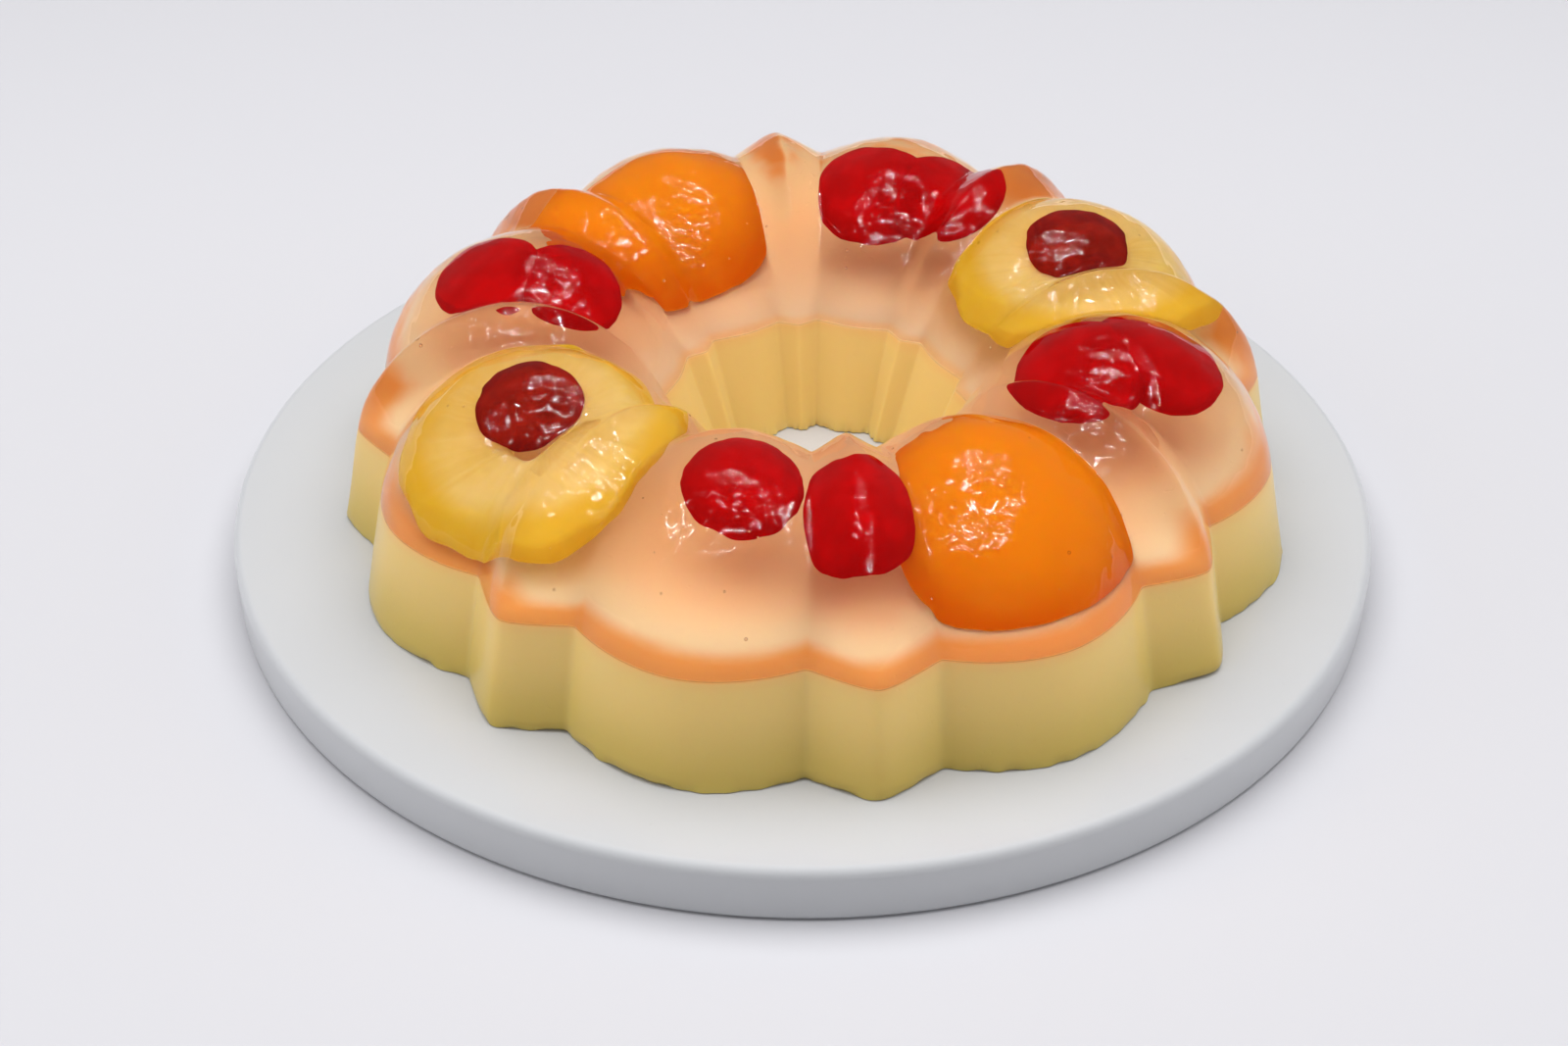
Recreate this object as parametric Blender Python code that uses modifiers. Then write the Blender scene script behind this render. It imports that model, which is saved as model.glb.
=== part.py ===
"""A fluted ring jelly on its round plate: an opaque custard layer under a clear jelly layer.

The ring is what a fluted ring mould turns out. Eight broad lobes stand round it, with eight narrow
ridges between them, and every flute runs from the foot of the outer wall, over the crown, and down
into the hole. Both layers are lofts of that one section, cut where the custard ends.
Metres, +Z up. The origin is the centre of the plate's underside.
"""

import math

import bpy
from mathutils import Vector
from mathutils.geometry import interpolate_bezier

# Plate
PLATE_RADIUS = 0.1525
PLATE_THICKNESS = 0.0153
PLATE_EDGE_ROUND = 0.0045       # quarter round where the top turns into the side
PLATE_FOOT_CHAMFER = 0.0012
PLATE_EDGE_STEPS = 6
PLATE_TURN_STEPS = 72

# Ring: its section at the crest of a lobe
RING_CENTRE_X = 0.0033          # it was turned out a little off the plate's centre
RING_CENTRE_Y = -0.0049
RING_TURN = math.radians(-83.1) # direction of the ridge that faces the front
RING_HEIGHT = 0.0624
FOOT_RADIUS_OUTER = 0.1255
FOOT_RADIUS_INNER = 0.0270
CREST_RADIUS = 0.0772           # where the crown is highest
DRAFT_OUTER = 0.2175            # the outer wall leans in by this much for each unit of height
DRAFT_INNER = 0.3746            # the hole widens upwards by this much
SHOULDER_HEIGHT = 0.0283        # the straight walls end here and the crown begins
CROWN_HANDLE = 0.5              # length of the crown curves' handles, as a share of their reach

# Layers
CUSTARD_HEIGHT = 0.0283         # level top of the custard, over the plate
LAYER_GAP = 0.0003              # clearance between touching pieces

# Flutes
LOBES = 8
SECTOR = 2 * math.pi / LOBES
VALLEY_ANGLE = math.radians(8)  # from a ridge's line to the valley beside it
FLUTE_DEPTH = 0.0080            # from a crest in to a valley
DEPTH_ON_CROWN = 0.754          # share of the depth that is left on the crown
DEPTH_IN_HOLE = 0.22            # share of the depth that is left on an upright inner wall
LOBE_POWER = 1.75               # how round a lobe is: 1 is a straight flank, 2 a parabola
RIDGE_POWER = 0.8
RIDGE_NOSE = 0.35                # how blunt a ridge is
VALLEY_BLEND = 0.05             # how softly lobe and ridge meet

# Mesh density
RIDGE_STEPS = 5                 # from a ridge's line to its valley
LOBE_STEPS = 7                  # from the valley to the lobe's crest
CROWN_STEPS = 8                 # from a shoulder to the crest

RING_BASE = PLATE_THICKNESS + LAYER_GAP


def material(name, colour, roughness, alpha=1.0, transmission=0.0):
    """A plain Principled material for one sub-part."""
    mat = bpy.data.materials.new(name)
    mat.use_nodes = True
    shader = mat.node_tree.nodes["Principled BSDF"]
    shader.inputs["Base Color"].default_value = (*colour, 1.0)
    shader.inputs["Roughness"].default_value = roughness
    shader.inputs["Metallic"].default_value = 0.0
    shader.inputs["Alpha"].default_value = alpha
    shader.inputs["Transmission Weight"].default_value = transmission
    mat.diffuse_color = (*colour, alpha)
    return mat


def new_object(name, mesh, mat, parent, collection):
    """An object for one sub-part, shaded smooth except along its sharp edges."""
    mesh.materials.append(mat)
    mesh.shade_smooth()
    mesh.set_sharp_from_angle(angle=math.radians(40))
    obj = bpy.data.objects.new(name, mesh)
    obj.parent = parent
    collection.objects.link(obj)
    return obj


def flute(angle):
    """How far a direction lies inside the crests: 0 at a ridge or a lobe's crest, 1 in a valley."""
    from_ridge = abs((angle + SECTOR / 2) % SECTOR - SECTOR / 2)
    lobe = (max(0, SECTOR / 2 - from_ridge) / (SECTOR / 2 - VALLEY_ANGLE)) ** LOBE_POWER
    reach = from_ridge / VALLEY_ANGLE
    blunt = math.hypot(reach, RIDGE_NOSE) - RIDGE_NOSE
    ridge = (blunt / (math.hypot(1, RIDGE_NOSE) - RIDGE_NOSE)) ** RIDGE_POWER
    return -VALLEY_BLEND * math.log(math.exp(-lobe / VALLEY_BLEND) + math.exp(-ridge / VALLEY_BLEND))


def depth_at(normal):
    """Flute depth where the section's outward normal points this way: full outside, least inside."""
    upright = DEPTH_IN_HOLE if normal.x < 0 else 1.0
    return FLUTE_DEPTH * (DEPTH_ON_CROWN + (upright - DEPTH_ON_CROWN) * normal.x ** 2)


def crown_curve(foot, draft, side):
    """Points and normals of half the crown, from a shoulder up to the crest. side is 1 outside, -1 inside."""
    shoulder = Vector((foot - side * draft * SHOULDER_HEIGHT, SHOULDER_HEIGHT))
    crest = Vector((CREST_RADIUS, RING_HEIGHT))
    rise = CROWN_HANDLE * (RING_HEIGHT - SHOULDER_HEIGHT)
    up = shoulder + Vector((-side * draft * rise, rise))
    over = Vector((CREST_RADIUS + CROWN_HANDLE * (shoulder.x - CREST_RADIUS), RING_HEIGHT))
    points = interpolate_bezier(shoulder, up, over, crest, CROWN_STEPS + 1)
    ends = [points[0], *points, points[-1]]
    samples = []
    for before, point, after in zip(ends, points, ends[2:]):
        along = (after - before).normalized()
        samples.append((point, Vector((side * along.y, -side * along.x))))
    return samples


def wall_radius(foot, draft, side, height, angle):
    """Radius of a straight wall at a height. It leans by its draft, and a flute moves it level."""
    normal = Vector((side, draft)).normalized()
    level_depth = depth_at(normal) / abs(normal.x)
    return foot - side * (draft * height + level_depth * flute(angle))


def crown_section(angle):
    """Radius and height of the crown at one direction, from the outer shoulder over to the inner."""
    outer = crown_curve(FOOT_RADIUS_OUTER, DRAFT_OUTER, 1)
    inner = crown_curve(FOOT_RADIUS_INNER, DRAFT_INNER, -1)
    across = outer[1:] + inner[-2:0:-1]
    inside = flute(angle)
    return [tuple(point - normal * depth_at(normal) * inside) for point, normal in across]


def wall_pair(height, angle):
    """The outer and the inner wall's points at one height."""
    outer = wall_radius(FOOT_RADIUS_OUTER, DRAFT_OUTER, 1, height, angle)
    inner = wall_radius(FOOT_RADIUS_INNER, DRAFT_INNER, -1, height, angle)
    return (outer, height), (inner, height)


def custard_section(angle):
    """Foot, level top, and back down the inner wall."""
    outer_foot, inner_foot = wall_pair(0, angle)
    outer_top, inner_top = wall_pair(CUSTARD_HEIGHT, angle)
    return [outer_foot, outer_top, inner_top, inner_foot]


def clear_section(angle):
    """From the custard's top over the crown."""
    outer_start, inner_start = wall_pair(CUSTARD_HEIGHT + LAYER_GAP, angle)
    return [outer_start, *crown_section(angle), inner_start]


def ring_angles():
    """Directions round the ring, with points on every ridge, valley and crest."""
    half = [VALLEY_ANGLE * i / RIDGE_STEPS for i in range(RIDGE_STEPS)]
    lobe_width = SECTOR / 2 - VALLEY_ANGLE
    half += [VALLEY_ANGLE + lobe_width * i / LOBE_STEPS for i in range(LOBE_STEPS)]
    sector = half + [SECTOR - a for a in [SECTOR / 2, *half[:0:-1]]]
    return [SECTOR * lobe + a for lobe in range(LOBES) for a in sector]


def ring_loft(name, section, mat, parent, collection):
    """A closed ring through one section for each direction, joined by quads both ways round."""
    angles = ring_angles()
    verts = []
    for angle in angles:
        verts += [(r * math.cos(angle), r * math.sin(angle), z) for r, z in section(angle)]
    size = len(verts) // len(angles)
    faces = []
    for i in range(len(angles)):
        here = i * size
        there = (i + 1) % len(angles) * size
        for j in range(size):
            k = (j + 1) % size
            faces.append((here + j, there + j, there + k, here + k))
    mesh = bpy.data.meshes.new(name)
    mesh.from_pydata(verts, [], faces)
    return new_object(name, mesh, mat, parent, collection)


def plate(collection):
    """A thick round plate, turned from its profile."""
    edge = PLATE_EDGE_ROUND
    profile = [(0.0, PLATE_THICKNESS)]
    for i in range(PLATE_EDGE_STEPS + 1):
        turn = math.pi / 2 * (1 - i / PLATE_EDGE_STEPS)
        round_x = PLATE_RADIUS - edge + edge * math.cos(turn)
        round_z = PLATE_THICKNESS - edge + edge * math.sin(turn)
        profile.append((round_x, round_z))
    profile.append((PLATE_RADIUS, PLATE_FOOT_CHAMFER))
    profile.append((PLATE_RADIUS - PLATE_FOOT_CHAMFER, 0.0))
    profile.append((0.0, 0.0))
    mesh = bpy.data.meshes.new("plate")
    edges = [(i, i + 1) for i in range(len(profile) - 1)]
    mesh.from_pydata([(x, 0.0, z) for x, z in profile], edges, [])
    obj = new_object("plate", mesh, material("plate_glaze", (0.74, 0.74, 0.76), 0.22), None, collection)
    screw = obj.modifiers.new("turn", "SCREW")
    screw.axis = "Z"
    screw.steps = PLATE_TURN_STEPS
    screw.render_steps = PLATE_TURN_STEPS
    screw.use_merge_vertices = True
    screw.merge_threshold = 0.00005
    screw.use_smooth_shade = True
    return obj


def main():
    for obj in list(bpy.data.objects):
        bpy.data.objects.remove(obj)
    collection = bpy.data.collections.new("fluted_ring_jelly")
    bpy.context.scene.collection.children.link(collection)
    plate(collection)
    ring = bpy.data.objects.new("ring", None)
    ring.location = (RING_CENTRE_X, RING_CENTRE_Y, RING_BASE)
    ring.rotation_euler.z = RING_TURN
    collection.objects.link(ring)
    custard = material("custard", (0.83, 0.62, 0.25), 0.3)
    clear = material("clear_jelly", (0.95, 0.62, 0.36), 0.05, alpha=0.45, transmission=0.9)
    ring_loft("custard_layer", custard_section, custard, ring, collection)
    ring_loft("clear_jelly_layer", clear_section, clear, ring, collection)


main()
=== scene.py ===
# %% [markdown]
# # A fluted fruit jelly on its plate
# This lesson dresses a ring jelly that came out of a fluted mould: a custard jelly below, a clear
# jelly above with fruit set in it, and a thick glazed plate under both. The packed model gives the
# sizes and places. Everything here is built round it, in metres, with +Z up.

# %% Load the packed model
import math

import bmesh
import bpy
from mathutils import Matrix, Vector, noise
from mathutils.bvhtree import BVHTree
from mathutils.geometry import interpolate_bezier


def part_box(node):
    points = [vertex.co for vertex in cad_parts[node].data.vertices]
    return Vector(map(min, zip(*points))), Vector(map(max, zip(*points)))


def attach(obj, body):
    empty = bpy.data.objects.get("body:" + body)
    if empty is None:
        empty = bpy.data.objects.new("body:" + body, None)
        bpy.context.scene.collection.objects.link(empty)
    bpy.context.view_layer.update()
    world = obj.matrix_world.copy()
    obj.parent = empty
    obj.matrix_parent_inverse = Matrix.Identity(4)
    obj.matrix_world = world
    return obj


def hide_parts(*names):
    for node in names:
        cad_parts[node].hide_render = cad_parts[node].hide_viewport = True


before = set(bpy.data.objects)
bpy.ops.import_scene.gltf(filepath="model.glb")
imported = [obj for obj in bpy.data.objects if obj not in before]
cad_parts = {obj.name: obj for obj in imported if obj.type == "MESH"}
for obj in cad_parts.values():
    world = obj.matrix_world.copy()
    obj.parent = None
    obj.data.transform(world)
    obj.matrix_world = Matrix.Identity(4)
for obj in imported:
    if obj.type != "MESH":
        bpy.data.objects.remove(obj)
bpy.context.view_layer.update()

# %% [markdown]
# ## Reading sizes from the frame
# The plate's box gives its radius and its top. The custard's box gives the ring's centre and the
# level where the custard ends. The clear layer's box gives the crown's height. Reading them keeps
# the looks in place if the model is packed again with other heights.

# %% Sizes from the frame
plate_low, plate_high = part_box("plate")
custard_low, custard_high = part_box("custard_layer")
clear_low, clear_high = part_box("clear_jelly_layer")

PLATE_RADIUS = plate_high.x
PLATE_TOP = plate_high.z
RING_CENTRE = Vector((
    (custard_low.x + custard_high.x) / 2,
    (custard_low.y + custard_high.y) / 2,
    custard_low.z,
))
CUSTARD_LEVEL = custard_high.z - RING_CENTRE.z
CROWN_LEVEL = clear_high.z - RING_CENTRE.z
print(f"plate radius {PLATE_RADIUS:.4f}, custard {CUSTARD_LEVEL:.4f} high, crown at {CROWN_LEVEL:.4f}")

# %% [markdown]
# ## The mould's shape
# The ring is one section turned round a centre, with flutes that push it in between the crests.
# The same few numbers that shaped the solid shape it here, but the mesh is much finer, so that light
# bends smoothly in the clear layer. A flute is a blend of two curves: a lobe's round flank and a
# narrow ridge's straight one. The lower of the two wins, softly, which leaves a rounded valley.

# %% Numbers of the mould
LOBES = 8
SECTOR = 2 * math.pi / LOBES
RING_TURN = math.radians(-83.1)
FOOT_OUTER = 0.1255
FOOT_INNER = 0.0270
CREST_RADIUS = 0.0772
DRAFT_OUTER = 0.2175
DRAFT_INNER = 0.3746
SHOULDER = 0.0283
VALLEY_ANGLE = math.radians(8)
FLUTE_DEPTH = 0.0080
DEPTH_ON_CROWN = 0.754               # shares of the depth that are left on the crown
DEPTH_IN_HOLE = 0.22                 # and on the hole's wall
LOBE_POWER = 1.75                    # how round a lobe is
RIDGE_POWER = 0.8
RIDGE_NOSE = 0.35                    # how blunt a ridge is
VALLEY_BLEND = 0.05                  # how softly lobe and ridge meet


def flute(angle):
    """0 on a ridge or on a lobe's crest, 1 in a valley."""
    from_ridge = abs((angle + SECTOR / 2) % SECTOR - SECTOR / 2)
    lobe = (max(0.0, SECTOR / 2 - from_ridge) / (SECTOR / 2 - VALLEY_ANGLE)) ** LOBE_POWER
    blunt = math.hypot(from_ridge / VALLEY_ANGLE, RIDGE_NOSE) - RIDGE_NOSE
    ridge = (blunt / (math.hypot(1, RIDGE_NOSE) - RIDGE_NOSE)) ** RIDGE_POWER
    both = math.exp(-lobe / VALLEY_BLEND) + math.exp(-ridge / VALLEY_BLEND)
    return -VALLEY_BLEND * math.log(both)


def depth_at(normal_x):
    """Flute depth for a section normal: full on the outer wall, least in the hole."""
    upright = DEPTH_IN_HOLE if normal_x < 0 else 1.0
    return FLUTE_DEPTH * (DEPTH_ON_CROWN + (upright - DEPTH_ON_CROWN) * normal_x ** 2)


valley_depths = [round(depth_at(normal_x), 4) for normal_x in (1, 0, -1)]
print("depth of a valley outside, on the crown and in the hole:", valley_depths)

# %% [markdown]
# A section is a list of points, each a radius and a height. The crown's points also carry their
# normals. The crown is two Bezier curves that leave the walls along their slope and meet level at the
# crest, as the rounded bottom of a ring mould does.

# %% Section of the crown and of the walls
OUTER_CROWN_STEPS = 56
INNER_CROWN_STEPS = 42
SHOULDER_ROWS = 5                    # crown rows next to a wall, left out where the clear wall starts


def crown_half(foot, draft, side, steps):
    """From a shoulder up to the crest. side is 1 for the outer half and -1 for the inner half."""
    shoulder = Vector((foot - side * draft * SHOULDER, SHOULDER))
    rise = (CROWN_LEVEL - SHOULDER) / 2
    up = shoulder + Vector((-side * draft * rise, rise))
    over = Vector(((CREST_RADIUS + shoulder.x) / 2, CROWN_LEVEL))
    points = interpolate_bezier(shoulder, up, over, Vector((CREST_RADIUS, CROWN_LEVEL)), steps + 1)
    ends = [points[0], *points, points[-1]]
    half = []
    for before, point, after in zip(ends, points, ends[2:]):
        along = (after - before).normalized()
        half.append((point, Vector((side * along.y, -side * along.x))))
    return half


def wall_point(side, height, angle):
    """A point of the outer (1) or inner (-1) wall at a height over the ring's base."""
    foot, draft = (FOOT_OUTER, DRAFT_OUTER) if side > 0 else (FOOT_INNER, DRAFT_INNER)
    normal = Vector((side, draft)).normalized()
    level_depth = depth_at(normal.x) / abs(normal.x)
    return foot - side * (draft * height + level_depth * flute(angle)), height


def evenly(start, end, steps):
    """Numbers from start to end, both included."""
    return [start + (end - start) * i / steps for i in range(steps + 1)]


crown = crown_half(FOOT_OUTER, DRAFT_OUTER, 1, OUTER_CROWN_STEPS)[SHOULDER_ROWS:]
crown += crown_half(FOOT_INNER, DRAFT_INNER, -1, INNER_CROWN_STEPS)[-2:SHOULDER_ROWS - 1:-1]
print("crown points in a section:", len(crown))

# %% [markdown]
# ## Lofting the ring
# One function turns any section into a closed ring: it asks for the section's points at each
# direction, puts them round the centre, and joins neighbours with quads both ways round. A closed
# loft beats a Screw modifier here, because the section changes with the direction.

# %% Loft and object helpers
RING_STEPS = 96                      # directions in one lobe
DIRECTIONS = [2 * math.pi * i / (LOBES * RING_STEPS) for i in range(LOBES * RING_STEPS)]


def to_world(radius, angle, height):
    """A place in the ring: radius from its centre, angle from the front ridge, height over its base."""
    a = angle + RING_TURN
    return RING_CENTRE + Vector((radius * math.cos(a), radius * math.sin(a), height))


def new_piece(name, mesh, smooth_angle=math.radians(50)):
    """Links an object for a mesh and shades it smooth except along sharp edges."""
    mesh.shade_smooth()
    mesh.set_sharp_from_angle(angle=smooth_angle)
    obj = bpy.data.objects.new(name, mesh)
    bpy.context.scene.collection.objects.link(obj)
    return obj


def loft_ring(name, section):
    """A closed ring through section(angle), a list of (radius, height) for each direction."""
    verts = []
    for angle in DIRECTIONS:
        verts += [to_world(r, angle, z) for r, z in section(angle)]
    size = len(verts) // len(DIRECTIONS)
    faces = []
    for i in range(len(DIRECTIONS)):
        here, there = i * size, (i + 1) % len(DIRECTIONS) * size
        for j in range(size):
            k = (j + 1) % size
            faces.append((here + j, there + j, there + k, here + k))
    mesh = bpy.data.meshes.new(name)
    mesh.from_pydata(verts, [], faces)
    print(f"{name}: {len(verts)} points, {2 * len(faces)} triangles")
    return new_piece(name, mesh)


def wave(x, y, z, size, seed=0.0):
    """Smooth noise between -1 and 1 with bumps of about the given size in metres."""
    return noise.noise(Vector((x / size + seed, y / size - seed, z / size + 2 * seed)))


# %% [markdown]
# ## The custard layer
# The real layer is an opaque, creamy jelly. Its foot is a little ragged where the mould's rim cut
# it, its walls are smooth with faint dents, and its top is level, because it set in the mould last.
# The top reaches just into the clear layer, so that no air shows between the two. Each point also
# stores how far it lies from the top's outer edge and from the hole, which the finish uses later.

# %% Custard ring
TUCK = 0.00015                       # the custard stands this much inside the clear layer's wall
FOOT_ROUND = 0.0012
RAGGED = 0.0009                      # how far the foot strays in and out
DENT = 0.00025
DENT_FADE = 0.004                    # dents fade out over this height below the top
TOP_STRIP = 0.0008                   # plain strip of wall just below the top edge
WALL_STEPS = 14
TOP_STEPS = 40
FIRST_ON_TOP = WALL_STEPS + 3        # the outline's first point on the level top


def custard_outline(angle):
    """Foot, outer wall, level top, inner wall, and back to the foot."""
    x, y, _ = to_world(FOOT_OUTER, angle, 0)
    ragged = RAGGED * wave(x, y, 0, 0.0045, 3.1) + RAGGED * wave(x, y, 0, 0.016, 7.7)
    bottom = PLATE_TOP - RING_CENTRE.z
    rows = [(bottom, FOOT_ROUND - ragged), (bottom + 0.0003, 0.35 * FOOT_ROUND - ragged)]
    rows += [(z, 0.0) for z in evenly(FOOT_ROUND, CUSTARD_LEVEL - TOP_STRIP, WALL_STEPS)]
    walls = {}
    for side in (1, -1):
        walls[side] = []
        for z, inset in rows:
            r, _ = wall_point(side, max(z, 0.0), angle)
            dent = DENT * wave(x + side, y, z, 0.018, 1.3)
            inset_here = inset + dent * min(1.0, (CUSTARD_LEVEL - z) / DENT_FADE)
            walls[side].append((r - side * inset_here, z))
    start = wall_point(1, CUSTARD_LEVEL, angle)[0] - TUCK
    end = wall_point(-1, CUSTARD_LEVEL, angle)[0] + TUCK
    top = [(r, CUSTARD_LEVEL) for r in evenly(start, end, TOP_STEPS)]
    return walls[1] + top + walls[-1][::-1]


custard = loft_ring("custard_ring", custard_outline)
points = custard.data.vertices
row_size = len(points) // len(DIRECTIONS)
for name, rim_at in (("from_edge", FIRST_ON_TOP), ("from_hole", FIRST_ON_TOP + TOP_STEPS)):
    distance = custard.data.attributes.new(name, "FLOAT", "POINT")
    for number, point in enumerate(points):
        rim = points[number - number % row_size + rim_at]
        distance.data[number].value = (point.co.xy - rim.co.xy).length
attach(custard, "root")
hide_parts("custard_layer")

# %% [markdown]
# ## The clear layer
# Clear jelly is a solid block of something close to water, so it is one closed body with a
# refracting shader and fruit inside it, not a thin shell. Turned-out jelly is never as true as
# its mould: its skin sags and ripples over the fruit. The ripples are in the mesh, so they bend the
# view of what lies inside. A tree of the skin's faces is kept, to find the depth of a place below it.

# %% Clear ring
LAP = 0.0003                         # how far the clear wall laps over the custard's top edge
SWELL = 0.0005
RIPPLE = 0.00042
FINE_RIPPLE = 0.00014
SUNK = 0.3                           # share of the swell by which the whole skin sinks
WALL_STRIP = 0.0012                  # plain strip of wall just over the custard
FREE_HEIGHT = 0.012                  # ripples reach their full height this far over the custard


def clear_outline(angle):
    """Outer wall, crown, inner wall."""
    inside = flute(angle)
    points = []
    for z in (CUSTARD_LEVEL - LAP, CUSTARD_LEVEL + WALL_STRIP):
        points.append((*wall_point(1, z, angle), 1.0, 0.0))
    for point, normal in crown:
        r, z = point - normal * depth_at(normal.x) * inside
        points.append((r, z, normal.x, normal.y))
    for z in (CUSTARD_LEVEL + WALL_STRIP, CUSTARD_LEVEL - LAP):
        points.append((*wall_point(-1, z, angle), -1.0, 0.0))
    out = []
    for r, z, normal_r, normal_z in points:
        x, y, h = to_world(r, angle, z)
        free = min(1.0, max(0.0, (z - CUSTARD_LEVEL) / FREE_HEIGHT))
        lift = SWELL * wave(x, y, h, 0.045, 5.0) + RIPPLE * wave(x, y, h, 0.010, 2.0)
        lift += FINE_RIPPLE * wave(x, y, h, 0.0038, 8.0)
        lift = free * lift - SUNK * SWELL * free
        out.append((r + normal_r * lift, z + normal_z * lift))
    return out


clear = loft_ring("clear_jelly_ring", clear_outline)
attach(clear, "root")
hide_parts("clear_jelly_layer")
clear_skin = BVHTree.FromPolygons(
    [vertex.co.copy() for vertex in clear.data.vertices],
    [face.vertices[:] for face in clear.data.polygons],
)

# %% [markdown]
# ### The wet film
# Turned-out jelly is wet, and its film of syrup draws the sharp bright squiggles on it. The film is
# a copy of the clear layer's surface, lifted by a hair. As a piece of its own it can be wrinkled
# finely without bending the view of the fruit, and it can have lamps of its own.

# %% Wet film
FILM_LIFT = 0.00008

film_mesh = clear.data.copy()
film_mesh.name = "wet_film"
lifted = [vertex.co + vertex.normal * FILM_LIFT for vertex in film_mesh.vertices]
for vertex, place in zip(film_mesh.vertices, lifted):
    vertex.co = place
film = new_piece("wet_film", film_mesh)
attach(film, "root")
print("film faces:", len(film_mesh.polygons))

# %% [markdown]
# ## The plate
# A thick flat plate is turned from its outline. The top edge is a quarter round and the foot a
# slightly smaller one, and the profile is fine enough that its silhouette stays round up close.

# %% Plate
EDGE_ROUND = 0.0026
FOOT_EDGE = 0.0020
TURN_STEPS = 256


def arc(centre_x, centre_z, radius, start, end, steps):
    """Points of an arc in the XZ plane, angles in degrees."""
    turns = evenly(math.radians(start), math.radians(end), steps)
    return [(centre_x + radius * math.cos(t), centre_z + radius * math.sin(t)) for t in turns]


profile = [(0.0, PLATE_TOP), (0.4 * PLATE_RADIUS, PLATE_TOP), (0.9 * PLATE_RADIUS, PLATE_TOP)]
profile += arc(PLATE_RADIUS - EDGE_ROUND, PLATE_TOP - EDGE_ROUND, EDGE_ROUND, 90, 0, 12)
profile += arc(PLATE_RADIUS - FOOT_EDGE, FOOT_EDGE, FOOT_EDGE, 0, -90, 6)
profile += [(0.6 * PLATE_RADIUS, 0.0), (0.0, 0.0)]
outline = bpy.data.meshes.new("plate_outline")
links = [(i, i + 1) for i in range(len(profile) - 1)]
outline.from_pydata([(x, 0.0, z) for x, z in profile], links, [])
turned = bpy.data.objects.new("plate_outline", outline)
bpy.context.scene.collection.objects.link(turned)
screw = turned.modifiers.new("turn", "SCREW")
screw.steps = screw.render_steps = TURN_STEPS
screw.use_merge_vertices = True
screw.merge_threshold = 0.00005      # joins the points on the axis
solved = turned.evaluated_get(bpy.context.evaluated_depsgraph_get())
plate_mesh = bpy.data.meshes.new_from_object(solved)
bpy.data.objects.remove(turned)
plate = new_piece("glazed_plate", plate_mesh, math.radians(35))
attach(plate, "root")
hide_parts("plate")
print("plate faces:", len(plate_mesh.polygons))

# %% [markdown]
# ## Fruit
# Each fruit is modelled lying at the origin, then set into the ring: an angle from the front ridge,
# a radius and a height give its place, and a tilt leans it outwards with the crown. Fruit is
# laid in the mould first and the jelly poured over it, so it presses against the mould but never
# breaks through. A last step does the same here: points closer than a skin's depth to the jelly's
# surface are pushed back in, which flattens the fruit just where the mould would.

# %% Placing fruit
SKIN = 0.0011                        # least depth of a fruit under the jelly's surface


def set_in_jelly(obj, angle, radius, height, tilt, spin=0.0):
    """Stands a fruit in the ring, angles in degrees, and keeps it under the jelly's skin."""
    a = math.radians(angle) + RING_TURN
    outward = Vector((math.cos(a), math.sin(a), 0))
    along = Vector((-math.sin(a), math.cos(a), 0))
    axes = Matrix((along, -outward, Vector((0, 0, 1)))).transposed()
    tilted = Matrix.Rotation(math.radians(tilt), 3, along)
    turn = tilted @ axes @ Matrix.Rotation(math.radians(spin), 3, "Z")
    place = Matrix.Translation(to_world(radius, math.radians(angle), height))
    obj.matrix_world = place @ turn.to_4x4()
    world, back = obj.matrix_world.copy(), obj.matrix_world.inverted()
    pressed = 0
    for vertex in obj.data.vertices:
        point = world @ vertex.co
        near, normal, _, _ = clear_skin.find_nearest(point)
        depth = (near - point).dot(normal)
        if depth < SKIN:
            vertex.co = back @ (near - normal * SKIN)
            pressed += 1
    obj.data.update()
    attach(obj, "root")
    print(f"{obj.name}: {len(obj.data.polygons)} faces, {pressed} points pressed in")
    return obj


def round_grid(name, shape, around, down):
    """A closed body from shape(turn, fall), with fall running from 0 at the top to pi at the bottom."""
    bm = bmesh.new()
    top = bm.verts.new(shape(0.0, 0.0))
    rings = []
    for j in range(1, down):
        fall = math.pi * j / down
        rings.append([bm.verts.new(shape(2 * math.pi * i / around, fall)) for i in range(around)])
    bottom = bm.verts.new(shape(0.0, math.pi))
    for i in range(around):
        k = (i + 1) % around
        bm.faces.new((top, rings[0][i], rings[0][k]))
        bm.faces.new((bottom, rings[-1][k], rings[-1][i]))
        for upper, lower in zip(rings, rings[1:]):
            bm.faces.new((upper[i], lower[i], lower[k], upper[k]))
    mesh = bpy.data.meshes.new(name)
    bm.to_mesh(mesh)
    bm.free()
    return new_piece(name, mesh)


# %% [markdown]
# ### Cherries
# A glazed cherry is soft: squashed, dimpled where the stone was pushed out, and finely wrinkled.
# A sphere's radius is worked out for each direction from those three things. The dimple is a
# smooth bell round the upper pole, with a shallower one below, and the wrinkles are noise that runs
# mostly from pole to pole.

# %% Cherry
CHERRY_RADIUS = 0.0122
DIMPLE = 0.16                        # depths as shares of the radius
LOWER_DIMPLE = 0.6 * DIMPLE
WRINKLE = 0.045
FINE_WRINKLE = 0.016
LUMP = 0.07


def on_ball(turn, fall):
    """A direction from the centre of a ball."""
    return math.sin(fall) * math.cos(turn), math.sin(fall) * math.sin(turn), math.cos(fall)


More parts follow.
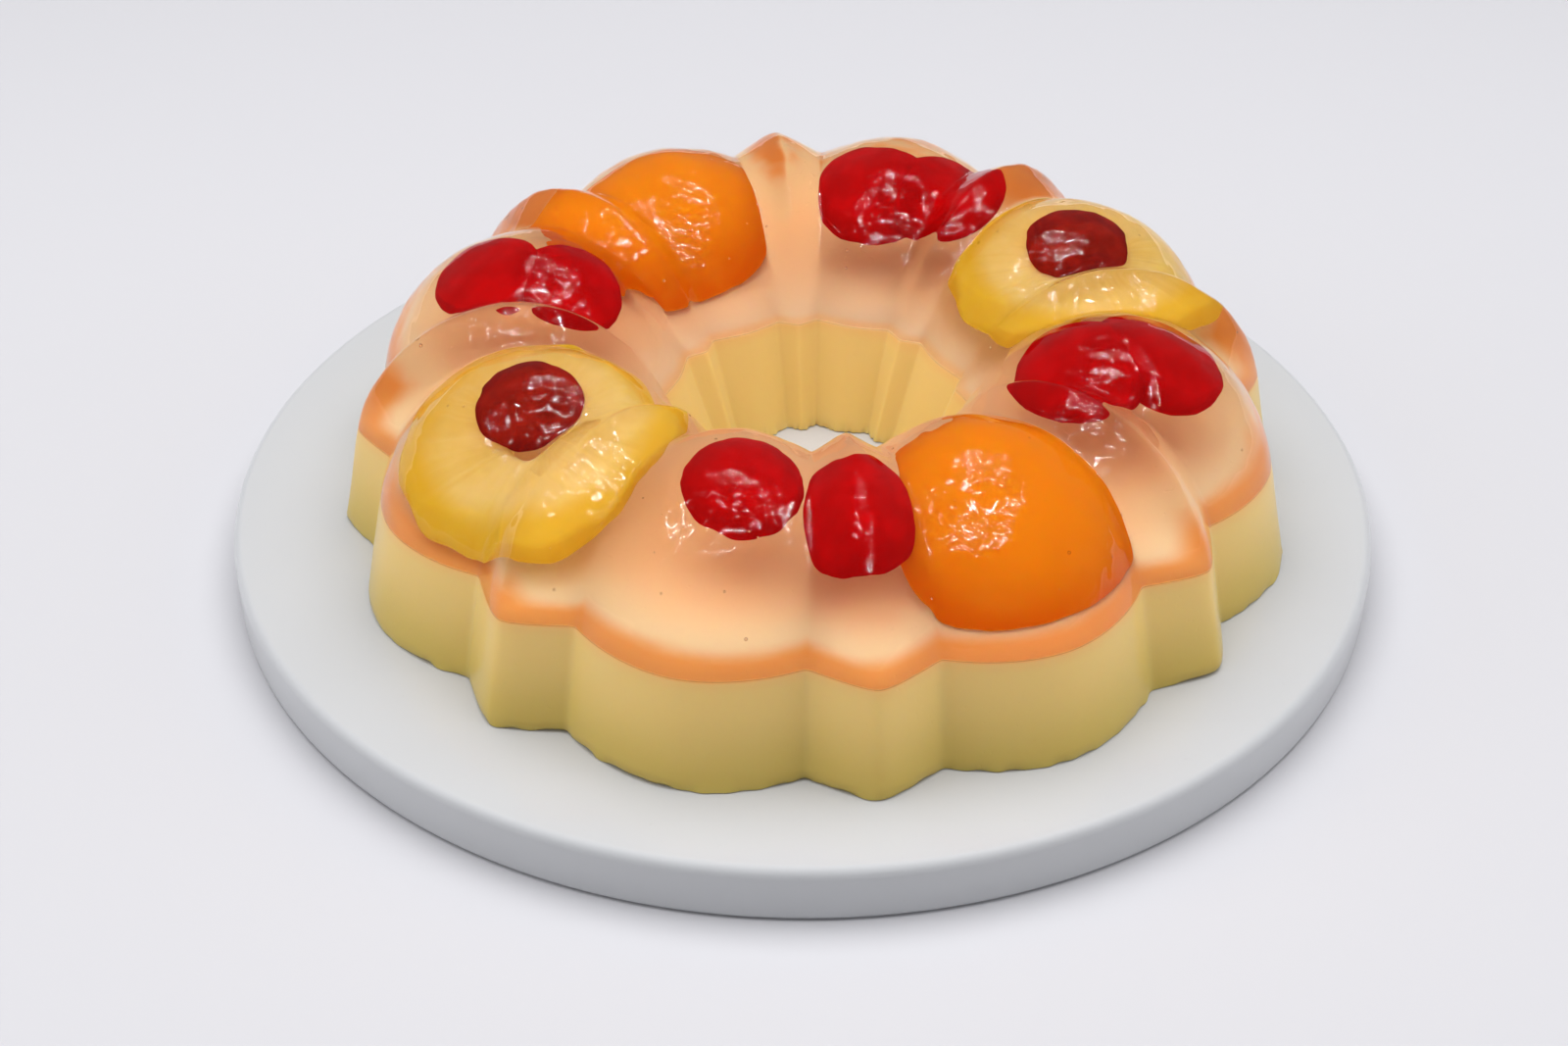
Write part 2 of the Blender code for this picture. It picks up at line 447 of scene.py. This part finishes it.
def cherry(name, size, flat, long, seed):
    """A squashed, dimpled, wrinkled ball."""

    def shape(turn, fall):
        x, y, z = on_ball(turn, fall)
        pit = DIMPLE * math.exp(-(fall / 0.42) ** 2)
        pit += LOWER_DIMPLE * math.exp(-((math.pi - fall) / 0.5) ** 2)
        wrinkle = WRINKLE * wave(2.6 * x, 2.6 * y, 0.9 * z, 1.0, seed)
        wrinkle += FINE_WRINKLE * wave(7 * x, 7 * y, 2 * z, 1.0, seed)
        lump = LUMP * wave(x, y, z, 1.3, seed + 4)
        r = CHERRY_RADIUS * size * (1 - pit + wrinkle + lump)
        return Vector((r * x * long, r * y, r * z * flat))

    obj = round_grid(name, shape, 64, 40)
    return obj


# name, size, flatness, length, angle, radius, height, tilt, spin
RED_CHERRIES = (
    ("cherry_front_round", 1.03, 0.86, 1.02, 340, 0.0765, 0.0495, 6, 20),
    ("cherry_front_ridge", 1.06, 0.82, 1.14, 359.5, 0.0820, 0.0475, 14, 80),
    ("cherry_left_outer", 1.16, 0.74, 1.10, 252, 0.0865, 0.0525, 10, 70),
    ("cherry_left_inner", 1.12, 0.72, 1.10, 251, 0.0668, 0.0510, -12, 40),
    ("cherry_back_near", 1.22, 0.74, 1.10, 160, 0.0705, 0.0500, -12, 0),
    ("cherry_back_far", 1.26, 0.72, 1.16, 146, 0.0750, 0.0500, 0, 50),
    ("cherry_right_inner", 1.36, 0.66, 1.10, 62, 0.0715, 0.0510, -8, 30),
    ("cherry_right_outer", 1.20, 0.70, 1.16, 69, 0.0875, 0.0515, 14, 60),
)
DARK_CHERRIES = (
    ("dark_cherry_left", 0.97, 0.74, 1.06, 294.5, 0.0815, 0.0510, 14, 10),
    ("dark_cherry_right", 0.96, 0.74, 1.10, 110, 0.0790, 0.0520, -4, 40),
)
red_cherries, dark_cherries = [], []
for rows, kept in ((RED_CHERRIES, red_cherries), (DARK_CHERRIES, dark_cherries)):
    for number, (name, size, flat, long, *place) in enumerate(rows):
        seed = 3.7 * number + len(kept)
        kept.append(set_in_jelly(cherry(name, size, flat, long, seed), *place))

# %% [markdown]
# ### Peach halves
# A tinned peach half is a smooth dome with a shallow seam, cut flat, with a pit cavity in the cut.
# The dome faces out, because it was laid in the mould first.

# %% Peach half
PEACH_RADIUS = 0.0285
PEACH_HEIGHT = 0.0230
SEAM = 0.035                         # depths as shares of the radius
PEACH_LUMP = 0.05
PEACH_PIT = 0.45                     # height of the cavity under it, as a share of the half's height


def peach_half(name, seed, wide, long):
    """A dome with a seam over it and a cavity under it."""

    def shape(turn, fall):
        x, y, z = on_ball(turn, fall)
        seam = SEAM * math.exp(-(x / 0.16) ** 2) * max(0.0, z + 0.2)
        lump = PEACH_LUMP * wave(x, y, z, 1.1, seed) + 0.008 * wave(x, y, z, 0.25, seed)
        r = 1 - seam + lump
        across = math.sin(min(fall, math.pi - fall)) ** 0.75
        px, py = across * math.cos(turn), across * math.sin(turn)
        if fall <= math.pi / 2:
            up = max(0.0, math.cos(fall)) ** 0.85
        else:
            up = 0.16 * math.cos(fall) ** 3 + PEACH_PIT * math.exp(-(across / 0.45) ** 2)
        flat_x, flat_y = PEACH_RADIUS * wide * px * r, PEACH_RADIUS * long * py * r
        return Vector((flat_x, flat_y, PEACH_HEIGHT * up * r))

    obj = round_grid(name, shape, 96, 56)
    return obj


peaches = [
    set_in_jelly(peach_half("peach_half_front", 2.0, 1.06, 0.92), 24.5, 0.0825, 0.0330, 20),
    set_in_jelly(peach_half("peach_half_back", 6.0, 1.20, 0.77), 210, 0.0780, 0.0345, -12),
]

# %% [markdown]
# ### Pineapple rings
# A slice of pineapple is a flat ring. Its rim is scalloped where the eyes were cut away, its faces
# are ridged by fibres that run out from the core, and the cored hole is clean. A closed tube section
# swept round the hole makes it, with the fibres as small radial ridges.

# %% Pineapple ring
SLICE_OUTER = 0.0345
SLICE_HOLE = 0.0072
SLICE_THICKNESS = 0.0105
SLICE_AROUND = 240
SLICE_ACROSS = 18
EYES = 11                            # scallops round the rim
SCALLOP = 0.0009
FIBRE = 0.00016


def pineapple_ring(name, seed):
    """A flat ring with a scalloped rim and fibres from hole to rim."""
    middle, half_width = (SLICE_OUTER + SLICE_HOLE) / 2, (SLICE_OUTER - SLICE_HOLE) / 2
    loop = 2 * SLICE_ACROSS
    verts, faces = [], []
    for i in range(SLICE_AROUND):
        turn = 2 * math.pi * i / SLICE_AROUND
        c, s = math.cos(turn), math.sin(turn)
        rim = SCALLOP * math.sin(EYES * turn + seed) + 0.0010 * wave(3 * c, 3 * s, seed, 1.0, seed)
        fibre = wave(16 * c, 16 * s, seed, 1.0, seed)
        for j in range(loop):
            a = 2 * math.pi * j / loop
            square_r = math.copysign(abs(math.cos(a)) ** 0.55, math.cos(a))
            square_z = math.copysign(abs(math.sin(a)) ** 0.45, math.sin(a))
            share = (square_r + 1) / 2
            r = middle + half_width * square_r + rim * share
            ridge = FIBRE * fibre * math.sin(math.pi * share)
            ridge += 0.0006 * wave(r * c, r * s, seed, 0.009, seed)
            z = SLICE_THICKNESS / 2 * square_z * (1 - 0.1 * share) + ridge * square_z
            verts.append((r * c, r * s, z))
        here, there = i * loop, (i + 1) % SLICE_AROUND * loop
        for j in range(loop):
            k = (j + 1) % loop
            faces.append((here + j, there + j, there + k, here + k))
    mesh = bpy.data.meshes.new(name)
    mesh.from_pydata(verts, [], faces)
    obj = new_piece(name, mesh)
    return obj


pineapples = [
    set_in_jelly(pineapple_ring("pineapple_ring_left", 1.0), 299, 0.0815, 0.0435, 16),
    set_in_jelly(pineapple_ring("pineapple_ring_right", 4.0), 108, 0.0800, 0.0440, -3),
]

# %% [markdown]
# ### Bubbles
# A poured jelly keeps a few tiny air bubbles just under its skin. Each is a small ball whose faces
# look inwards, because it is a hole in the jelly: light passes from jelly into air. All of them are
# one mesh, scattered by a seeded list of random numbers.

# %% Bubbles
import random

BUBBLES = 90
CROWN_ENDS = 6                       # crown points at each end that get no bubble

scatter = random.Random(11)
bubble_mesh = bmesh.new()
for _ in range(BUBBLES):
    angle = scatter.uniform(0, 2 * math.pi)
    point, normal = crown[scatter.randrange(CROWN_ENDS, len(crown) - CROWN_ENDS)]
    depth = depth_at(normal.x) * flute(angle) + scatter.uniform(0.0018, 0.006)
    r, z = point - normal * depth
    size = scatter.uniform(0.00018, 0.00042)
    ball = bmesh.ops.create_icosphere(bubble_mesh, subdivisions=2, radius=size)
    bmesh.ops.translate(bubble_mesh, verts=ball["verts"], vec=to_world(r, angle, z))
bmesh.ops.reverse_faces(bubble_mesh, faces=bubble_mesh.faces)
bubbles_data = bpy.data.meshes.new("bubbles")
bubble_mesh.to_mesh(bubbles_data)
bubble_mesh.free()
bubbles = new_piece("air_bubbles", bubbles_data)
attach(bubbles, "root")
print("bubble faces:", len(bubbles_data.polygons))

# %% [markdown]
# ## Writing shader maths as sums
# A node tree is easier to read as an expression. `Wire` wraps a socket, and its operators add Math
# nodes, so `1 - mask * 0.4` builds two nodes. Colours and vectors don't pass through Math nodes,
# which would turn them grey: `Paint.mix` blends colours with a Mix node instead.

# %% Wire and Paint


class Wire:
    """One output socket, with arithmetic."""

    def __init__(self, paint, socket):
        self.paint, self.socket = paint, socket

    def maths(self, operation, first, second):
        return self.paint.node("ShaderNodeMath", {"operation": operation}, {0: first, 1: second})

    def __add__(self, other):
        return self.maths("ADD", self, other)

    def __radd__(self, other):
        return self.maths("ADD", other, self)

    def __sub__(self, other):
        return self.maths("SUBTRACT", self, other)

    def __rsub__(self, other):
        return self.maths("SUBTRACT", other, self)

    def __mul__(self, other):
        return self.maths("MULTIPLY", self, other)

    def __rmul__(self, other):
        return self.maths("MULTIPLY", other, self)


class Paint:
    """One material and the nodes in it."""

    def __init__(self, name):
        self.material = bpy.data.materials.new(name)
        self.material.use_nodes = True
        self.tree = self.material.node_tree
        self.tree.nodes.clear()

    def plug(self, value, socket):
        if isinstance(value, Wire):
            self.tree.links.new(value.socket, socket)
        elif isinstance(value, tuple) and socket.type == "RGBA" and len(value) == 3:
            socket.default_value = (*value, 1.0)
        else:
            socket.default_value = value

    def node(self, kind, settings=None, sockets=None, out=0):
        """Adds a node: its settings first, then its sockets' values or links. Gives one output."""
        added = self.tree.nodes.new(kind)
        for key, value in (settings or {}).items():
            setattr(added, key, value)
        for key, value in (sockets or {}).items():
            self.plug(value, added.inputs[key])
        return Wire(self, added.outputs[out])

    def place(self):
        """Position in the piece's own space, in metres."""
        return self.node("ShaderNodeTexCoord", out="Object")

    def noise(self, scale, detail=3.0, rough=0.5, where=None, distort=0.0):
        sockets = {"Scale": scale, "Detail": detail, "Roughness": rough, "Distortion": distort}
        sockets["Vector"] = where or self.place()
        return self.node("ShaderNodeTexNoise", sockets=sockets, out="Fac")

    def height(self):
        """Z in the piece's own space."""
        return self.node("ShaderNodeSeparateXYZ", sockets={"Vector": self.place()}, out="Z")

    def vector(self, operation, first, second=None, out="Vector"):
        """One step of vector maths."""
        sockets = {0: first} if second is None else {0: first, 1: second}
        return self.node("ShaderNodeVectorMath", {"operation": operation}, sockets, out)

    def ramp(self, value, low, high, to_low=0.0, to_high=1.0):
        """Rescales a value smoothly between two limits."""
        sockets = {"Value": value, "From Min": low, "From Max": high}
        sockets |= {"To Min": to_low, "To Max": to_high}
        smooth = {"interpolation_type": "SMOOTHSTEP"}
        return self.node("ShaderNodeMapRange", smooth, sockets, out="Result")

    def mix(self, factor, first, second):
        """Blends two colours."""
        colours = {0: factor, 6: first, 7: second}
        return self.node("ShaderNodeMix", {"data_type": "RGBA"}, colours, out=2)

    def bump(self, height, distance, strength=1.0):
        sockets = {"Height": height, "Distance": distance, "Strength": strength}
        return self.node("ShaderNodeBump", sockets=sockets, out="Normal")

    def principled(self, **sockets):
        named = {key.replace("_", " "): value for key, value in sockets.items()}
        return self.node("ShaderNodeBsdfPrincipled", sockets=named, out="BSDF")

    def see_through(self, share, tint, body):
        """Lets a share of the light straight through the surface, and tints it."""
        window = self.node("ShaderNodeBsdfTransparent", sockets={"Color": tint})
        return self.node("ShaderNodeMixShader", sockets={0: share, 1: body, 2: window})

    def finish(self, surface, volume=None):
        out = self.tree.nodes.new("ShaderNodeOutputMaterial")
        self.plug(surface, out.inputs["Surface"])
        if volume is not None:
            self.plug(volume, out.inputs["Volume"])
        print("finish:", self.material.name, len(self.tree.nodes), "nodes")
        return self.material


print("shader maths:", [name for name in vars(Wire) if name.startswith("__") and "init" not in name])

# %% [markdown]
# ## Plate glaze
# The glaze is a cool, very pale grey. What makes it read as ceramic and not as paper is a slight
# cloudiness, a sharp reflection over a softer one, and a skin that isn't perfectly level.

# %% Plate glaze


def plate_glaze():
    p = Paint("plate_glaze")
    cloud = p.noise(14.0, 4.0)
    fleck = p.ramp(p.noise(900.0, 2.0), 0.70, 0.78)
    colour = p.mix(cloud, (0.515, 0.524, 0.540), (0.540, 0.549, 0.563))
    colour = p.mix(fleck * 0.25, colour, (0.45, 0.45, 0.45))
    skin = p.noise(90.0, 2.0)
    return p.finish(p.principled(
        Base_Color=colour,
        Roughness=0.26 + 0.10 * cloud,
        Coat_Weight=0.35,
        Coat_Roughness=0.08,
        Normal=p.bump(skin, 0.00012, 0.5),
    ))


plate.data.materials.append(plate_glaze())

# %% [markdown]
# ## Custard
# Custard jelly is opaque but not hard-edged: light goes in a few millimetres and comes out warmer.
# The wall's colour is painted paler near the top, painted light where light comes down through the
# clear layer, and painted darker and more olive at the foot, painted shade. The hole's wall is more
# golden. The level top's colour holds painted shade and light: a darker orange band along both its
# edges, painted shadow where the crown bends light away, which also runs a few millimetres down the
# walls, and a pale cream band just inside the outer one, a painted pool of light that the crown
# focuses there. All of that is one colour changed by height, radius and distance from an edge. The
# top lies under a refracting body that keeps light from it, so it is given a faint glow, painted light.

# %% Custard finish


def custard_finish():
    p = Paint("custard")
    height = p.height()
    low, high = RING_CENTRE.z, RING_CENTRE.z + CUSTARD_LEVEL
    rise = p.ramp(height, low, high - 0.004)
    cloud = p.noise(35.0, 4.0)
    grain = p.noise(420.0, 3.0)
    # painted light and shade: the wall runs from darker, more olive at the foot to paler at the top,
    # for light coming down through the clear layer; the cloud mix is the custard's own mottling
    wall = p.mix(rise, (0.59, 0.43, 0.095), (0.82, 0.57, 0.19))
    wall = p.mix(cloud * 0.25, wall, (0.84, 0.58, 0.17))
    flat = p.vector("MULTIPLY", p.vector("SUBTRACT", p.place(), RING_CENTRE), (1, 1, 0))
    radius = p.vector("LENGTH", flat, out="Value")
    inner = p.ramp(radius, 0.038, 0.046, 1.0, 0.0)
    colour = p.mix(inner * 0.8, wall, (0.84, 0.60, 0.21))
    # painted shade: the walls' top few millimetres turn darker orange, the painted shadow band of the
    # top's edges carried down the walls
    edge_shade_on_wall = p.ramp(height, high - 0.0040, high)
    colour = p.mix(edge_shade_on_wall * 0.5, colour, (0.82, 0.45, 0.17))
    top = p.ramp(height, high - 0.0009, high - 0.0002)
    edge = p.node("ShaderNodeAttribute", {"attribute_name": "from_edge"}, out="Fac")
    hole = p.node("ShaderNodeAttribute", {"attribute_name": "from_hole"}, out="Fac")
    soft_edge = edge + (p.noise(60.0, 2.0) - 0.5) * 0.003
    # painted shadow and painted light on the level top: darker orange along the outer edge where the
    # crown bends light away, then a pale cream band, a painted pool of focused light, then the top's
    # own colour; the next mix paints a darker shadow band along the hole's edge
    crest = p.mix(p.ramp(soft_edge, 0.006, 0.0145), (0.74, 0.32, 0.08), (0.73, 0.62, 0.40))
    crest = p.mix(p.ramp(soft_edge, 0.016, 0.030), crest, (0.75, 0.57, 0.36))
    crest = p.mix(p.ramp(hole, 0.001, 0.006, 0.75, 0.0), crest, (0.80, 0.48, 0.20))
    # painted light: the top glows faintly in its painted colours, for light that the clear layer keeps
    # from it
    glow = p.mix(top, (0.0, 0.0, 0.0), crest)
    colour = p.mix(top, colour, crest)
    pits = p.ramp(p.noise(700.0, 1.0), 0.24, 0.32, 1.0, 0.0)
    relief = grain * 0.35 + cloud * 0.65 - pits * 0.4
    return p.finish(p.principled(
        Base_Color=colour,
        Roughness=0.30 + 0.12 * cloud,
        Subsurface_Weight=0.35,
        Subsurface_Radius=(1.0, 0.6, 0.25),
        Subsurface_Scale=0.006,
        Specular_IOR_Level=0.12,
        Coat_Weight=0.35 - 0.35 * top,
        Coat_Roughness=0.12,
        Emission_Color=glow,
        Emission_Strength=0.08,
        Normal=p.bump(relief, 0.0002, 0.35),
    ))


custard.data.materials.append(custard_finish())

# %% [markdown]
# ## Clear jelly
# The body bends light like water with sugar in it, and takes blue and green out of light that
# travels far through it, which is why it is pale where thin and orange where deep. That is what
# Volume Absorption does. The surface has a faint fine ripple, and its own reflection is kept low,
# because the wet film over it draws the glints.

# %% Clear jelly finish
JELLY_IOR = 1.35


def clear_finish():
    p = Paint("clear_jelly")
    fine = p.noise(260.0, 2.0)
    body = p.principled(
        Base_Color=(1.0, 0.995, 0.99),
        Roughness=0.0,
        IOR=JELLY_IOR,
        Transmission_Weight=1.0,
        Specular_Tint=(0.4, 0.4, 0.4),
        Normal=p.bump(fine, 0.00004, 0.6),
    )
    tint = {"Color": (0.985, 0.50, 0.02), "Density": 11.0}
    return p.finish(body, p.node("ShaderNodeVolumeAbsorption", sockets=tint, out="Volume"))


clear.data.materials.append(clear_finish())

# %% [markdown]
# ## Wet film
# The film is a mirror that covers under a hundredth of what it lies on, so only the reflections of
# very bright, narrow lamps show in it. Its wrinkles break them into short squiggles.

# %% Film finish


def film_finish():
    p = Paint("wet_film")
    wrinkles = p.noise(210.0, 1.5, 0.45, distort=0.6)
    return p.finish(p.principled(
        Base_Color=(1, 1, 1),
        Metallic=1.0,
        Roughness=0.07,
        Alpha=0.008,
        Normal=p.bump(wrinkles, 0.0005),
    ))


film.data.materials.append(film_finish())

# %% [markdown]
# ## Air bubbles
# The balls' faces look inwards, so the same bending number as the jelly's makes them air in jelly.

# %% Bubble finish
air = Paint("air_bubble")
bubbles.data.materials.append(air.finish(air.principled(
    Base_Color=(1, 1, 1),
    Roughness=0.02,
    IOR=JELLY_IOR,
    Transmission_Weight=1.0,
)))

# %% [markdown]
# ## Cherries
# Red cherries are saturated and slightly see-through, with paler scuffs where the skin is worn. The
# two in the pineapple are brown-red. Fruit lies in jelly, not in air, so it doesn't reflect, and the
# gloss one sees is the jelly's wet skin. Light that gets into soft fruit scatters out again all over
# it: a share of light let straight through stands for that, and on every fruit here a faint glow is
# painted light for it and for the light that the refracting jelly keeps from the fruit's undersides.

# %% Cherry finish


def cherry_finish(name, deep, bright):
    p = Paint(name)
    patch = p.noise(120.0, 4.0, 0.6)
    streak = p.ramp(p.noise(330.0, 3.0, 0.6, distort=1.2), 0.60, 0.78)
    colour = p.mix(p.ramp(patch, 0.35, 0.70), deep, bright)
    colour = p.mix(streak * 0.15, colour, (0.55, 0.02, 0.02))
    flesh = p.principled(
        Base_Color=colour,
        Roughness=0.25 + 0.20 * patch,
        IOR=1.45,
        Specular_IOR_Level=0.0,
        Subsurface_Weight=0.2,
        Subsurface_Radius=(1.0, 0.12, 0.08),
        Subsurface_Scale=0.004,
        # painted light: the flesh glows faintly in its own colour, lifting the undersides that the
        # jelly keeps dim
        Emission_Color=colour,
        Emission_Strength=0.12,
        Normal=p.bump(p.noise(500.0, 3.0), 0.0003, 0.5),
    )
    return p.finish(p.see_through(0.30, (1.0, 0.10, 0.03), flesh))


red = cherry_finish("red_cherry", (0.36, 0.0008, 0.001), (0.50, 0.001, 0.002))
dark = cherry_finish("dark_cherry", (0.13, 0.006, 0.003), (0.26, 0.012, 0.006))
for fruit in red_cherries:
    fruit.data.materials.append(red)
for fruit in dark_cherries:
    fruit.data.materials.append(dark)

# %% [markdown]
# ## Peach
# The colour is deeper and darker low at the rim of the half, and paler higher over the dome. Fine
# fibres run over it.

# %% Peach finish


def peach_finish():
    p = Paint("peach")
    height = p.height()
    dome = p.ramp(height, 0.002, PEACH_HEIGHT)
    patch = p.noise(60.0, 4.0, 0.6)
    fibre = p.noise(240.0, 3.0, 0.5, distort=0.6)
    colour = p.mix(dome, (0.68, 0.150, 0.001), (0.74, 0.235, 0.004))
    colour = p.mix(p.ramp(patch, 0.45, 0.75) * 0.45, colour, (0.78, 0.27, 0.012))
    flesh = p.principled(
        Base_Color=colour,
        Roughness=0.35 + 0.15 * fibre,
        Specular_IOR_Level=0.0,
        Subsurface_Weight=0.7,
        Subsurface_Radius=(1.0, 0.45, 0.12),
        Subsurface_Scale=0.009,
        # painted light: the flesh glows faintly in its own colour, lifting the undersides that the
        # jelly keeps dim
        Emission_Color=colour,
        Emission_Strength=0.15,
        Normal=p.bump(fibre, 0.0003, 0.4),
    )
    return p.finish(p.see_through(0.22, (1.0, 0.62, 0.20), flesh))


peach = peach_finish()
for fruit in peaches:
    fruit.data.materials.append(peach)

# %% [markdown]
# ## Pineapple
# Straw-yellow flesh, with streaks that run out from the core and a deeper yellow rim. The streaks are
# noise looked up by direction, not by place: it barely changes along a radius.

# %% Pineapple finish


def pineapple_finish():
    p = Paint("pineapple")
    flat = p.vector("MULTIPLY", p.place(), (1, 1, 0))
    radius = p.vector("LENGTH", flat, out="Value")
    direction = p.vector("NORMALIZE", flat)
    streak = p.noise(9.0, 5.0, 0.65, where=direction)
    patch = p.noise(70.0, 3.0, 0.5)
    rim = p.ramp(radius, 0.62 * SLICE_OUTER, 0.88 * SLICE_OUTER)
    flesh = p.mix(p.ramp(patch, 0.35, 0.68), (0.67, 0.51, 0.135), (0.76, 0.60, 0.22))
    flesh = p.mix(p.ramp(streak, 0.42, 0.66) * 0.25, flesh, (0.78, 0.63, 0.28))
    colour = p.mix(rim * 0.9, flesh, (0.64, 0.41, 0.012))
    slice_flesh = p.principled(
        Base_Color=colour,
        Roughness=0.40 + 0.15 * streak,
        Specular_IOR_Level=0.0,
        Subsurface_Weight=0.8,
        Subsurface_Radius=(1.0, 0.8, 0.3),
        Subsurface_Scale=0.009,
        # painted light: the flesh glows faintly in its own colour, lifting the undersides that the
        # jelly keeps dim
        Emission_Color=colour,
        Emission_Strength=0.2,
        Normal=p.bump(streak, 0.0002, 0.35),
    )
    return p.finish(p.see_through(0.40, (1.0, 0.93, 0.60), slice_flesh))


pineapple = pineapple_finish()
for fruit in pineapples:
    fruit.data.materials.append(pineapple)

# %% [markdown]
# ## Studio
# A pale table runs out to a pale backdrop, so that every view has a plain ground. The table glows
# only far from the plate, where little of the lamps' light falls, and the backdrop lights nothing.

# %% Table, backdrop and room
bpy.ops.mesh.primitive_plane_add(size=24.0, location=(0, 0, 0))
table = bpy.context.object
table.name = "table"
t = Paint("table")
grey = t.noise(3.0, 2.0)
away = t.vector("LENGTH", t.place(), out="Value")
far = t.ramp(away, 0.7, 2.2)
table.data.materials.append(t.finish(t.principled(
    Base_Color=t.mix(grey, (0.58, 0.576, 0.602), (0.59, 0.586, 0.612)),
    Roughness=0.7,
    Emission_Color=t.mix(far, (0.0, 0.0, 0.0), (0.74, 0.735, 0.78)),
    Emission_Strength=1.0,
)))

bpy.ops.mesh.primitive_uv_sphere_add(segments=48, ring_count=24, radius=10.0)
backdrop = bpy.context.object
backdrop.name = "backdrop"
b = Paint("backdrop")
pale = b.node("ShaderNodeEmission", sockets={"Color": (0.77, 0.765, 0.81)})
backdrop.data.materials.append(b.finish(pale))
backdrop.visible_diffuse = backdrop.visible_glossy = backdrop.visible_transmission = False
backdrop.visible_shadow = False

room = bpy.data.worlds.new("room")
bpy.context.scene.world = room
room.use_nodes = True
sky = room.node_tree.nodes["Background"]
sky.inputs["Color"].default_value = (0.93, 0.94, 1.0, 1.0)
sky.inputs["Strength"].default_value = 0.16
print("staged:", table.name, backdrop.name, "in the world", room.name)

# %% [markdown]
# ### Lamps
# Soft panels light everything, and one more lights only the clear layer, whose inside a refracting
# skin keeps dim. Narrow tubes light only the wet film, and their reflections are its thin glints.

# %% Lamps


def panel(name, place, aim, size, power, mirrored=False, only=None):
    """A soft rectangular lamp that points at a place. Unless mirrored, glossy skins don't show it."""
    lamp = bpy.data.lights.new(name, "AREA")
    lamp.shape = "RECTANGLE"
    lamp.size, lamp.size_y = size
    lamp.energy = power
    obj = bpy.data.objects.new(name, lamp)
    bpy.context.scene.collection.objects.link(obj)
    obj.location = place
    obj.rotation_euler = (Vector(aim) - Vector(place)).to_track_quat("-Z", "Y").to_euler()
    obj.visible_glossy = mirrored
    if only:
        obj.light_linking.receiver_collection = only
    return obj


through_jelly = bpy.data.collections.new("through_jelly")
through_jelly.objects.link(clear)
on_film = bpy.data.collections.new("on_film")
on_film.objects.link(film)

panel("panel_above", (0.0, 0.10, 1.25), (0, 0.0, 0), (1.7, 1.3), 24.0)
panel("panel_front", (-0.2, -1.4, 0.9), (0, 0, 0.0), (1.6, 0.9), 2.8)
panel("panel_left", (-1.3, -0.2, 0.6), (0, 0, 0.02), (0.8, 1.2), 5.5)
panel("panel_right", (1.3, -0.1, 0.6), (0, 0, 0.02), (0.8, 1.2), 5.0)
panel("jelly_panel", (0.0, -0.7, 0.9), (0, 0, 0.04), (1.0, 0.8), 8.5, only=through_jelly)
# x, y, turn in degrees, length
TUBES = (
    (-0.10, -0.60, 6, 0.7),
    (0.10, -0.26, -5, 0.6),
    (-0.06, 0.14, 4, 0.6),
    (0.10, 0.52, -4, 0.7),
    (-0.60, -0.05, 82, 0.4),
    (0.58, 0.08, 97, 0.4),
)
TUBE_HEIGHT = 1.1
TUBE_WIDTH = 0.02
TUBE_POWER = 12.0                    # watts for each metre
for number, (x, y, turn, length) in enumerate(TUBES):
    start, size, power = (x, y, TUBE_HEIGHT), (length, TUBE_WIDTH), TUBE_POWER * length
    tube = panel(f"tube_{number}", start, (x, y, 0), size, power, mirrored=True, only=on_film)
    tube.rotation_euler = (0, 0, math.radians(turn))
    tube.visible_diffuse = tube.visible_transmission = False
print("lamps:", len(bpy.data.lights), "of them tubes:", len(TUBES))

# %% [markdown]
# ## Camera
# A normal lens two thirds of a metre away, looking down by 36 degrees at the plate's middle.

# %% Camera
LOOK_DOWN = 0.6321                   # radians
ROLL = 0.0093

camera_data = bpy.data.cameras.new("camera")
camera_data.lens = 55.07
camera_data.sensor_width = 36.0
camera_data.clip_start = 0.01
camera = bpy.data.objects.new("camera", camera_data)
bpy.context.scene.collection.objects.link(camera)
camera.location = (0.0, -3.5062 * PLATE_RADIUS, 2.5647 * PLATE_RADIUS)
camera.rotation_euler = (math.pi / 2 - LOOK_DOWN, 0.0, ROLL)
bpy.context.scene.camera = camera
bpy.context.scene.view_settings.view_transform = "Standard"
print("camera at", [round(x, 3) for x in camera.location])

# %% [markdown]
# The visual model has to stay inside the packed model's box.
